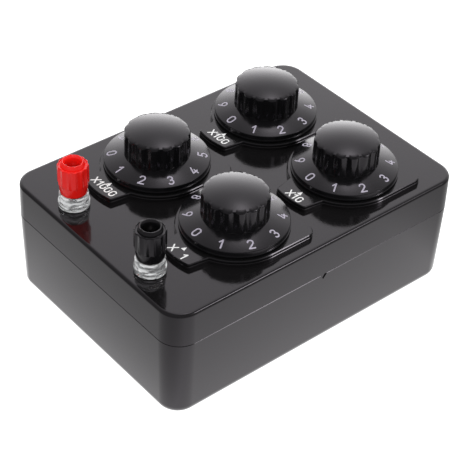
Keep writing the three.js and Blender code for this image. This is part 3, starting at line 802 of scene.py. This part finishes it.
def strokes_of(text):
    """The character's strokes, each broken where it turns sharply."""
    for points in LETTER_SHARES[text]:
        start = 0
        for i in range(1, len(points) - 1):
            before, after = points[i] - points[i - 1], points[i + 1] - points[i]
            if before.angle(after, 0) > math.radians(PEN_BEND):
                yield points[start:i + 1]
                start = i
        yield points[start:]


def pen_rows(points, half):
    """Rows across a stroke of a round pen, as a middle, a direction and a half width."""
    fine = points[:1]
    for before, after in zip(points, points[1:]):
        pieces = math.ceil((after - before).length / PEN_STRIP)
        fine += [before.lerp(after, k / pieces) for k in range(1, pieces + 1)]
    rows = []
    for i, point in enumerate(fine):
        along = (fine[min(i + 1, len(fine) - 1)] - fine[max(i - 1, 0)]).normalized()
        rows.append((point, along, half))
    caps = [(half * math.sin(a), half * math.cos(a)) for a in (QUARTER * k / 4 for k in range(1, 4))]
    first, last = rows[0], rows[-1]
    foot = [(first[0] - first[1] * reach, first[1], width) for reach, width in reversed(caps)]
    head = [(last[0] + last[1] * reach, last[1], width) for reach, width in caps]
    return foot + rows + head


def printed(name, text, size, pen, finish, lay):
    """A character as thin print: each point of its strokes is laid on the surface by a function."""
    made = bmesh.new()
    for k, stroke in enumerate(strokes_of(text)):
        edges = []
        for middle, along, half in pen_rows([point * size for point in stroke], pen / 2):
            aside = Vector((-along.y, along.x)) * half
            places = [Vector((*(middle + aside * side), k * PRINT_LAYER)) for side in (-1, 1)]
            edges.append([made.verts.new(lay(place)) for place in places])
        for near, far in zip(edges, edges[1:]):
            made.faces.new((near[0], far[0], far[1], near[1]))
    return placed_mesh(name, made, finish)


# The pieces
def build_top_shell(sizes, plates, finish):
    """The shell with its four pads, and holes for the switches and the posts."""
    low = SEAM + sizes.seam_gap
    levels = [
        (sizes.wall, DECK - sizes.deck),
        (sizes.wall, low),
        (sizes.edge, low),
        (0, low + sizes.edge),
    ]
    levels += [(sizes.rim_draft + inset, DECK - drop) for inset, drop in rounding(sizes.rim_round)]
    levels.append((sizes.rim_draft + sizes.rim_round + sizes.support, DECK))
    shell = placed_mesh("case_top", layered(case_outline, sizes, levels), finish)
    pads, holes = [], []
    for decade in DECADES:
        axis = AXES["dial_turn_" + decade]
        top = DECK + plates.step
        levels = [(0, DECK - OVERRUN)]
        levels += [(inset, top - drop) for inset, drop in rounding(plates.edge / 2, 1)]
        levels.append((plates.edge / 2 + sizes.support, top))
        pads.append(layered(pad_outline, plates, levels, axis.xy))
        holes.append(bar(plates.hole, DECK - 2 * sizes.deck, top + OVERRUN, axis.x, axis.y))
    for post in POSTS:
        axis = AXES["post_turn_" + post]
        radius = bpy.context.scene.box_posts.stud + SEAT
        holes.append(bar(radius, DECK - 2 * sizes.deck, DECK + OVERRUN, axis.x, axis.y))
    carved(shell, ("UNION", joined(*pads)), ("DIFFERENCE", joined(*holes)))
    hand_over(smoothed(shell), "case", "case_plastic", "top_shell")


def build_bottom_tub(sizes, finish):
    """The tub with its tongue, the screws' pillars and recesses, and the nick in the seam."""
    draft = sizes.base_draft
    levels = [(draft + sizes.base_round + sizes.support, 0)]
    levels += [(draft + inset, drop) for inset, drop in reversed(rounding(sizes.base_round))]
    tongue = sizes.wall + SEAT
    inner = tongue + sizes.tongue_wall
    levels += [
        (0, SEAM - sizes.edge),
        (sizes.edge, SEAM),
        (tongue, SEAM),
        (tongue, SEAM + sizes.tongue),
        (inner, SEAM + sizes.tongue),
        (inner + draft, sizes.floor),
    ]
    tub = placed_mesh("case_tub", layered(case_outline, sizes, levels), finish)
    pillars, recesses = [], []
    for corner in CORNERS:
        low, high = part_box("case_screw_" + corner)
        place = (low + high) / 2
        recess = (high.x - low.x) / 2 + SEAT
        shelf = low.z + sizes.screw_head + SEAT
        top = shelf + sizes.shelf
        pillars.append(bar(recess + sizes.pillar_wall, sizes.floor / 2, top, place.x, place.y))
        recesses.append(bar(recess, -OVERRUN, shelf, place.x, place.y))
        recesses.append(bar(sizes.screw_hole, shelf - OVERRUN, top + OVERRUN, place.x, place.y))
    half = sizes.nick_width / 2
    outside, inside = HALF_SPAN.x + OVERRUN, HALF_SPAN.x - sizes.nick_reach
    above = SEAM + OVERRUN
    tip = SEAM - sizes.nick_depth
    shape = [(-half, above), (-half, SEAM), (0, tip), (half, SEAM), (half, above)]
    nick = mesh_of([[(x, y, z) for y, z in shape] for x in (inside, outside)])
    carved(
        tub,
        ("UNION", joined(*pillars)),
        ("DIFFERENCE", joined(*recesses)),
        ("DIFFERENCE", nick),
    )
    hand_over(smoothed(tub), "case", "case_plastic", "bottom_tub")


class BOX_OT_case(bpy.types.Operator):
    """Build the top shell and the bottom tub"""

    bl_idname = "resistance_box.case"
    bl_label = "Case"

    def execute(self, context):
        sizes = context.scene.box_case
        finish = material("case plastic", moulded, context.scene.box_finishes.case, *GRAINS["case"])
        build_top_shell(sizes, context.scene.box_plates, finish)
        build_bottom_tub(sizes, finish)
        return {"FINISHED"}


def print_tab(sizes, decade, axis, height, ink):
    """The multiplier and the pointer on a plate's tab."""
    text, places, line, (x, foot) = TABS[decade]
    for k, (letter, place) in enumerate(zip(text, places)):
        spot = Vector((axis.x + place * MM, axis.y + line * MM, height + PRINT_LIFT))

        def lay(point, spot=spot):
            return spot + point

        mark = printed(f"legend_{decade}_{k}", letter, sizes.letter, sizes.pen, ink, lay)
        hand_over(mark, "case", "plate_plastic")
    half = sizes.pointer / 2
    shape = [Vector((-half, 0)), Vector((half, 0)), Vector((0, sizes.pointer))]
    centre = Vector((axis.x + x * MM, axis.y + foot * MM))
    arrow = stacked([(shape, height + lift) for lift in (PRINT_LIFT / 2, PRINT_LIFT)], centre)
    hand_over(placed_mesh("pointer_" + decade, arrow, ink), "case", "plate_plastic")


class BOX_OT_plates(bpy.types.Operator):
    """Build the four index plates with the multiplier and the pointer on each tab"""

    bl_idname = "resistance_box.plates"
    bl_label = "Index plates"

    def execute(self, context):
        sizes = context.scene.box_plates
        finishes = context.scene.box_finishes
        plastic = material("plate plastic", moulded, finishes.plate, *GRAINS["plate"])
        ink = material("legend ink", printed_ink, finishes.legend)
        for decade in DECADES:
            axis = AXES["dial_turn_" + decade]
            low, high = (corner.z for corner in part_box("index_plate_" + decade))
            levels = [(sizes.inset + sizes.edge / 3, low), (sizes.inset, low + sizes.edge / 3)]
            levels += [(sizes.inset + inset, high - drop) for inset, drop in rounding(sizes.edge, 1)]
            levels.append((sizes.inset + 3 * sizes.edge, high))
            body = layered(pad_outline, sizes, levels, axis.xy)
            plate = placed_mesh("index_plate_dressed_" + decade, body, plastic)
            carved(plate, ("DIFFERENCE", bar(sizes.hole, low - OVERRUN, high + OVERRUN, axis.x, axis.y)))
            hand_over(smoothed(plate), "case", "plate_plastic", "index_plate_" + decade)
            print_tab(sizes, decade, axis, high, ink)
        return {"FINISHED"}


def dial_profile(sizes, decade, low, rim):
    """From the spindle's bore round the skirt and up the knob to its middle."""
    side_top = low + sizes.side
    cone_top = side_top + sizes.cone
    grip_top = cone_top + sizes.grip_height
    dome_low = grip_top + sizes.bevel
    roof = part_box("spindle_" + decade)[1].z + OVERRUN
    hub_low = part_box("switch_frame_" + decade)[1].z + sizes.clearance
    cavity_top = grip_top - sizes.roof
    inner = sizes.grip_top - sizes.shell
    under = [
        (0, roof),
        (sizes.bore, roof),
        (sizes.bore, hub_low),
        (sizes.hub, hub_low),
        (sizes.hub, cavity_top),
        (inner, cavity_top),
        (sizes.grip - sizes.shell, cone_top - sizes.wall),
        (rim - sizes.wall, side_top - sizes.wall),
        (rim - sizes.wall, low),
    ]
    skirt = [
        (rim + sizes.lip, low),
        (rim + sizes.lip, low + sizes.lip_height),
        (rim, low + sizes.lip_height),
        (rim, side_top),
    ]
    grip = [
        (sizes.grip, cone_top, 0),
        (sizes.grip, cone_top, sizes.flute),
        (sizes.grip_top, grip_top, sizes.flute),
        (sizes.grip_top - sizes.bevel, dome_low, sizes.flute / 3),
    ]
    points = eased(profile_of(*under, *skirt, *grip), sizes.soft)
    radius = sizes.grip_top - 2 * sizes.bevel
    for k in range(DOME_ROWS):
        share = 1 - k / DOME_ROWS
        height = dome_low + sizes.soft + sizes.dome * (1 - share**2)
        points.append(Vector((radius * share, height, 0)))
    return points + [Vector((0, dome_low + sizes.soft + sizes.dome, 0))]


def print_digits(sizes, decade, axis, low, rim, ink):
    """The digits 0 to 9 round the cone, their tops towards the knob."""
    side_top = low + sizes.side
    slope = math.atan2(sizes.cone, rim - sizes.grip)
    turned_by = -SET_TO.get(decade, 0) * STEP_ANGLE
    for digit in range(10):
        angle = math.radians(ZERO_ANGLE) + turned_by + digit * STEP_ANGLE

        def lay(point, angle=angle):
            reach = sizes.digit_reach - point.y * math.cos(slope)
            round_angle = angle + point.x / reach
            height = side_top + (rim - reach) * math.tan(slope) + point.z + PRINT_LIFT
            return Vector((
                axis.x + reach * math.cos(round_angle),
                axis.y + reach * math.sin(round_angle),
                height,
            ))

        mark = printed(f"digit_{decade}_{digit}", str(digit), sizes.digit, sizes.pen, ink, lay)
        hand_over(mark, "dial_" + decade, "knob_plastic")


class BOX_OT_dials(bpy.types.Operator):
    """Build the four dials with their fluted knobs and digits"""

    bl_idname = "resistance_box.dials"
    bl_label = "Dials"

    def execute(self, context):
        sizes = context.scene.box_dials
        finishes = context.scene.box_finishes
        plastic = material("dial plastic", moulded, finishes.knob, *GRAINS["knob"])
        ink = material("digit ink", printed_ink, finishes.digit)
        for decade in DECADES:
            axis = AXES["dial_turn_" + decade]
            low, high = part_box("dial_knob_" + decade)
            rim = (high.x - low.x) / 2 - sizes.lip
            start = math.radians(FIRST_FLUTE) - SET_TO.get(decade, 0) * STEP_ANGLE
            walls = fluted(KNOB_FLUTES, start, narrowing=FLUTE_NARROWING)
            steps = KNOB_FLUTES * KNOB_FLUTE_STEPS
            knob = spun(dial_profile(sizes, decade, low.z, rim), axis, steps, walls)
            made = smoothed(placed_mesh("dial_" + decade, knob, plastic), SHARP_FLUTES, flat=False)
            hand_over(made, "dial_" + decade, "knob_plastic", "dial_knob_" + decade)
            print_digits(sizes, decade, axis, low.z, rim, ink)
        return {"FINISHED"}


def cap_profile(sizes, post):
    """A closed profile: up the outside, over the ring and back down the mouth and the recess."""
    low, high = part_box("post_cap_" + post)
    radius = (high.x - low.x) / 2
    rim = high.z - sizes.ring_rise
    waist = low.z + sizes.taper
    stud_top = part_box("post_stud_" + post)[1].z
    throat_low = stud_top + sizes.clearance
    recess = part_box("post_washer_" + post)[1].z + sizes.clearance
    skirt = sizes.bottom - sizes.skirt
    bore = sizes.stud + sizes.clearance
    points = profile_of(
        (skirt, low.z),
        (sizes.bottom, low.z),
        (sizes.waist, waist),
        (radius, waist + sizes.run, sizes.flute),
        (radius, rim - sizes.edge, sizes.flute),
        (radius - sizes.edge, rim, sizes.flute / 2),
        (sizes.groove, rim),
        (sizes.groove, rim - sizes.groove_depth),
        (sizes.ring, rim - sizes.groove_depth, sizes.ring_flat / 2),
        (sizes.ring, rim, sizes.ring_flat / 2),
        (sizes.ring - sizes.ring_taper, high.z, sizes.ring_flat),
        (sizes.mouth, high.z, sizes.ring_flat / 2),
        (sizes.throat, high.z - sizes.mouth_depth),
        (sizes.throat, throat_low),
        (bore, throat_low),
        (bore, recess),
        (skirt, recess),
    )
    return eased(points, sizes.soft, closed=True)


def collar_profile(sizes, post):
    """A closed profile: up the outside, over the rim and down the hollow to its floor."""
    low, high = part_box("post_collar_" + post)
    flange = (high.x - low.x) / 2
    body = flange - sizes.collar_step
    step = low.z + sizes.collar_foot
    floor = low.z + sizes.collar_floor
    points = profile_of(
        (sizes.stud + SEAT, low.z),
        (flange, low.z),
        (flange, step),
        (body, step + sizes.collar_step),
        (body, high.z - sizes.soft),
        (body - sizes.soft, high.z),
        (sizes.collar_bore, high.z),
        (sizes.collar_bore, floor),
        (sizes.stud + SEAT, floor),
    )
    return eased(points, sizes.soft, closed=True)


def stud_mesh(sizes, post, axis):
    """A threaded rod with a socket, and the hexagon flange that sits in the collar."""
    low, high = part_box("post_stud_" + post)

    def threaded(point, angle):
        wave = (point[1] / sizes.pitch - angle / TURN) % 1
        return point[0] - point[2] * abs(2 * wave - 1)

    rows = THREAD_ROWS * int((high.z - low.z) / sizes.pitch)
    rod = [(0, low.z, 0)]
    for k in range(rows + 1):
        z = low.z + (high.z - low.z) * k / rows
        rod.append((sizes.stud, z, sizes.thread))
    rod += [
        (sizes.socket + sizes.soft, high.z, 0),
        (sizes.socket, high.z - sizes.soft, 0),
        (sizes.socket, DECK - sizes.socket_floor, 0),
        (0, DECK - sizes.socket_floor, 0),
    ]
    across = (high.x - low.x) / 2
    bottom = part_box("post_collar_" + post)[0].z + sizes.collar_floor + SEAT
    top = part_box("post_collar_" + post)[1].z
    hexagon = arc(Vector((0, 0)), across / math.cos(TURN / 12), QUARTER, QUARTER + TURN, 6)[:-1]
    whole = eased(hexagon, sizes.corner, closed=True)
    small = [point * FLANGE_SHARE for point in whole]
    levels = [(small, bottom), (whole, bottom + sizes.soft), (whole, top - sizes.soft), (small, top)]
    flange = stacked(levels, axis.xy)
    return joined(spun(profile_of(*rod), axis, THREAD_STEPS, threaded), flange)


class BOX_OT_posts(bpy.types.Operator):
    """Build the red and black binding posts on their clear collars"""

    bl_idname = "resistance_box.posts"
    bl_label = "Binding posts"

    def execute(self, context):
        finishes = context.scene.box_finishes
        caps = {
            "red": material("red plastic", moulded, finishes.red, *GRAINS["cap"]),
            "black": material("black plastic", moulded, finishes.black, *GRAINS["cap"]),
        }
        clear = material("clear plastic", clear_plastic, finishes.clear)
        nickel = plated("nickel plate")
        sizes = context.scene.box_posts
        for post in POSTS:
            axis = AXES["post_turn_" + post]
            walls, flats = fluted(CAP_FLUTES), fluted(RING_FLATS, TURN / RING_FLATS / 2)

            def cap_radius(point, angle, walls=walls, flats=flats):
                return flats(point, angle) if point[0] < sizes.groove else walls(point, angle)

            steps = CAP_FLUTES * CAP_FLUTE_STEPS
            cap = spun(cap_profile(sizes, post), axis, steps, cap_radius, closed=True)
            made = smoothed(placed_mesh("cap_" + post, cap, caps[post]), SHARP_FLUTES, flat=False)
            hand_over(made, "post_turn_" + post, post + "_plastic", "post_cap_" + post)
            collar = spun(collar_profile(sizes, post), axis, COLLAR_STEPS, closed=True)
            made = smoothed(placed_mesh("collar_" + post, collar, clear), flat=False)
            hand_over(made, "case", "clear_plastic", "post_collar_" + post)
            stud = placed_mesh("stud_" + post, stud_mesh(sizes, post, axis), nickel)
            made = smoothed(stud, SHARP_THREAD)
            hand_over(made, "case", "nickel_plate", "post_stud_" + post)
        return {"FINISHED"}


def dress(node, finish):
    """Gives a kept solid its finish."""
    for slot in frame["nodes"][node].material_slots:
        slot.material = finish


class BOX_OT_mechanism(bpy.types.Operator):
    """Give the solids that are kept as they are their own finishes"""

    bl_idname = "resistance_box.mechanism"
    bl_label = "Mechanism"

    def execute(self, context):
        board = material("board laminate", laminate, (0.16, 0.06, 0.025), (0.34, 0.15, 0.07))
        for decade in DECADES:
            for kind, finish in DECADE_FINISHES.items():
                dress(kind + decade, plated(finish))
            centre = AXES["dial_turn_" + decade]
            dress("contact_board_" + decade, board)
            dress("resistor_chain_" + decade, material("resistors " + decade, banded, centre))
        for post in POSTS:
            for kind, finish in POST_FINISHES.items():
                dress(kind + post, plated(finish))
        for corner in CORNERS:
            dress("case_screw_" + corner, plated("zinc plate"))
        for shade, (base, links) in WIRES.items():
            for link in links:
                dress("wire_" + link, material(shade + " insulation", insulation, base))
        return {"FINISHED"}


def add_camera(context):
    """The camera of the photograph, as its distance and angles about a point."""
    angles = (CAMERA_TURN, CAMERA_RISE, CAMERA_ROLL)
    azimuth, elevation, roll = (math.radians(angle) for angle in angles)
    target = Vector(CAMERA_TARGET) * MM
    back = Vector((
        math.sin(azimuth) * math.cos(elevation),
        -math.cos(azimuth) * math.cos(elevation),
        math.sin(elevation),
    ))
    across = Vector((0, 0, 1)).cross(back).normalized()
    up = back.cross(across)
    right = across * math.cos(roll) + up * math.sin(roll)
    above = up * math.cos(roll) - across * math.sin(roll)
    data = bpy.data.cameras.new("camera")
    data.sensor_width = SENSOR
    data.lens = SENSOR * FOCAL_PIXELS / PICTURE_PIXELS
    data.clip_start, data.clip_end = CAMERA_NEAR, CAMERA_FAR
    made = placed("camera", data)
    turned = Matrix((right, above, back)).transposed().to_4x4()
    made.matrix_world = Matrix.Translation(target + back * CAMERA_DISTANCE * MM) @ turned
    context.scene.camera = made


def seen(recipe):
    """One for what the camera sees, and one for what it sees mirrored or through clear plastic."""
    rays = recipe.node("ShaderNodeLightPath")
    direct = rays.output("Is Camera Ray")
    mirrored = rays.output("Is Glossy Ray") + rays.output("Is Transmission Ray")
    return direct, recipe.maths("MINIMUM", mirrored, 1 - direct)


def add_floor():
    """White paper that keeps the object's shadow; away from the object its colour is painted darker,
    painted shade that its reflections show.
    """
    outline = [(x * FLOOR_HALF, y * FLOOR_HALF) for x, y in ((-1, -1), (1, -1), (1, 1), (-1, 1))]
    data = bpy.data.meshes.new("floor")
    data.from_pydata([(*point, -FLOOR_DEPTH) for point in outline], [], [range(len(outline))])
    made = placed("floor", data)
    recipe = Recipe(bpy.data.materials.new("pale floor"))
    size = Vector((HALF_SPAN.x, HALF_SPAN.y, 0))
    outside = recipe.vector("SUBTRACT", recipe.vector("ABSOLUTE", recipe.place()), size)
    outside = recipe.vector("MAXIMUM", outside, (0, 0, 0))
    beyond = recipe.vector("LENGTH", recipe.vector("MULTIPLY", outside, FLOOR_STRETCH), output="Value")
    near = 1 / (beyond / FLOOR_FADE + 1)
    direct, mirrored = seen(recipe)
    paper = recipe.mixed(recipe.noise(30, 2), *(grey(tone) for tone in PAPER_TONES))
    # Painted shade: the paper's colour darkens away from the box, and reflections see the floor's glow
    # only near it
    shade = recipe.mixed(near, grey(FAR_PAINTED_SHADE), paper)
    matt = recipe.node("ShaderNodeBsdfDiffuse", inputs={"Color": shade})
    white = recipe.node("ShaderNodeEmission", inputs={"Color": rgba(grey(1)), "Strength": FLOOR_GLOW})
    factor = direct * (1 - near * SHADOW_SHARE) + mirrored * near
    data.materials.append(recipe.finished(recipe.blended(factor, matt, white)))


def add_world(context):
    """White to the camera; reflections see a white wall behind the box and a dim room in front."""
    world = bpy.data.worlds.new("studio")
    context.scene.world = world
    recipe = Recipe(world)
    direct, mirrored = seen(recipe)
    way = recipe.node("ShaderNodeTexCoord", output="Generated")
    room = DIM_ROOM
    for place, sharpness, glow in GLOWS:
        share = recipe.maths("MAXIMUM", recipe.vector("DOT_PRODUCT", way, place, output="Value"), 0)
        room = room + recipe.maths("POWER", share, sharpness) * glow
    ambient = context.scene.box_lights.world
    strength = (1 - direct - mirrored) * ambient + direct + mirrored * room
    inputs = {"Color": rgba(grey(1)), "Strength": strength}
    recipe.finished(recipe.node("ShaderNodeBackground", inputs=inputs))


def add_lamp(name, watts, place, size):
    data = bpy.data.lights.new(name, "AREA")
    data.energy = watts
    data.shape = "DISK"
    data.size = size
    made = placed(name, data)
    made.location = place
    made.visible_camera = False
    made.visible_glossy = False
    made.rotation_euler = Vector(place).to_track_quat("Z", "Y").to_euler()


class BOX_OT_stage(bpy.types.Operator):
    """Set the floor, the light and the camera"""

    bl_idname = "resistance_box.stage"
    bl_label = "Stage"

    def execute(self, context):
        add_camera(context)
        add_floor()
        add_world(context)
        for name, (place, size) in LAMPS.items():
            add_lamp(name + " softbox", getattr(context.scene.box_lights, name), place, size)
        context.scene.view_settings.view_transform = "Standard"
        return {"FINISHED"}


PIECES = (BOX_OT_case, BOX_OT_plates, BOX_OT_dials, BOX_OT_posts, BOX_OT_mechanism, BOX_OT_stage)


class BOX_PT_panel(bpy.types.Panel):
    """Lists the pieces in the order they are built"""

    bl_idname = "BOX_PT_panel"
    bl_label = "Resistance box"
    bl_space_type = "VIEW_3D"
    bl_region_type = "UI"
    bl_category = "Resistance box"

    def draw(self, context):
        for piece in PIECES:
            self.layout.operator(piece.bl_idname)


CLASSES = (*GROUPS.values(), *PIECES, BOX_PT_panel)


def register():
    for kind in CLASSES:
        bpy.utils.register_class(kind)
    for name, group in GROUPS.items():
        setattr(bpy.types.Scene, name, bpy.props.PointerProperty(type=group))


def unregister():
    for name in GROUPS:
        delattr(bpy.types.Scene, name)
    for kind in reversed(CLASSES):
        bpy.utils.unregister_class(kind)


def main():
    register()
    for operator in ("case", "plates", "dials", "posts", "mechanism", "stage"):
        getattr(bpy.ops.resistance_box, operator)()


if __name__ == "__main__":
    main()
